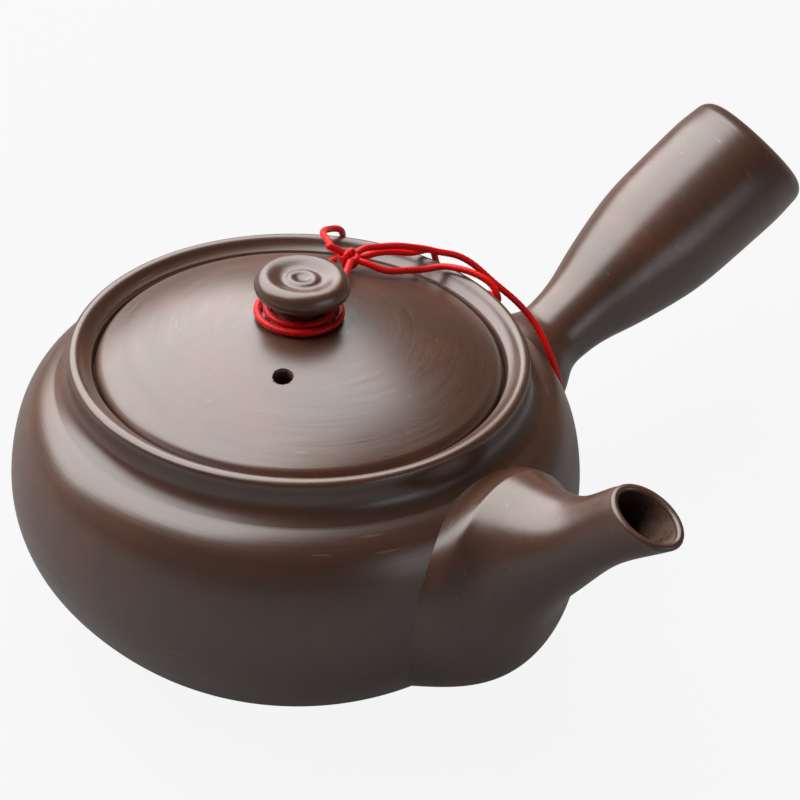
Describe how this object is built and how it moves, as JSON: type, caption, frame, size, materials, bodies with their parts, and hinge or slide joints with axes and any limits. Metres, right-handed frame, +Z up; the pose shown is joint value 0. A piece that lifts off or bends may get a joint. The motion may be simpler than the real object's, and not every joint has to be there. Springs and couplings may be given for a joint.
{
  "type": "side-handle teapot",
  "caption": "Low clay teapot with a hollow side handle, a short spout with a pierced strainer, and a lift-off domed lid tethered by a thin red cord.",
  "frame": {"origin": "centre of the flat base, on the pot's own axis, on the surface that it stands on", "axes": "+Z up the pot's axis, +X towards the side handle, the spout leaves near -Y"},
  "size_m": [0.2053, 0.1474, 0.0762],
  "materials": {
    "burnished_clay": "unglazed dark brown stoneware, burnished to a soft sheen",
    "unburnished_clay": "unglazed dark brown stoneware, matt",
    "red_cord": "braided satin cord, bright red"
  },
  "bodies": {
    "pot": {"pot_body": "burnished_clay", "spout": "burnished_clay", "tea_strainer": "unburnished_clay", "side_handle": "burnished_clay", "handle_cord_knot": "red_cord", "cord_over_handle": "red_cord", "cord_under_rim": "red_cord", "cord_short": "red_cord"},
    "lid_cord": {"knob_cord_turns": "red_cord", "lid_cord_knot": "red_cord", "cord_tail": "red_cord"},
    "lid": {"lid": "burnished_clay", "lid_flange": "unburnished_clay", "lid_knob": "burnished_clay"}
  },
  "joints": [
    {"name": "lid_lift", "type": "slide", "parent": "pot", "child": "lid_cord", "axis": [0, 0, 1], "range_m": [0, 0.04], "deforming": ["cord_over_handle", "cord_under_rim", "cord_short"]},
    {"name": "lid_turn", "type": "hinge", "parent": "lid_cord", "child": "lid", "pos_m": [0, 0, 0.0548], "axis": [0, 0, 1], "continuous": true}
  ]
}
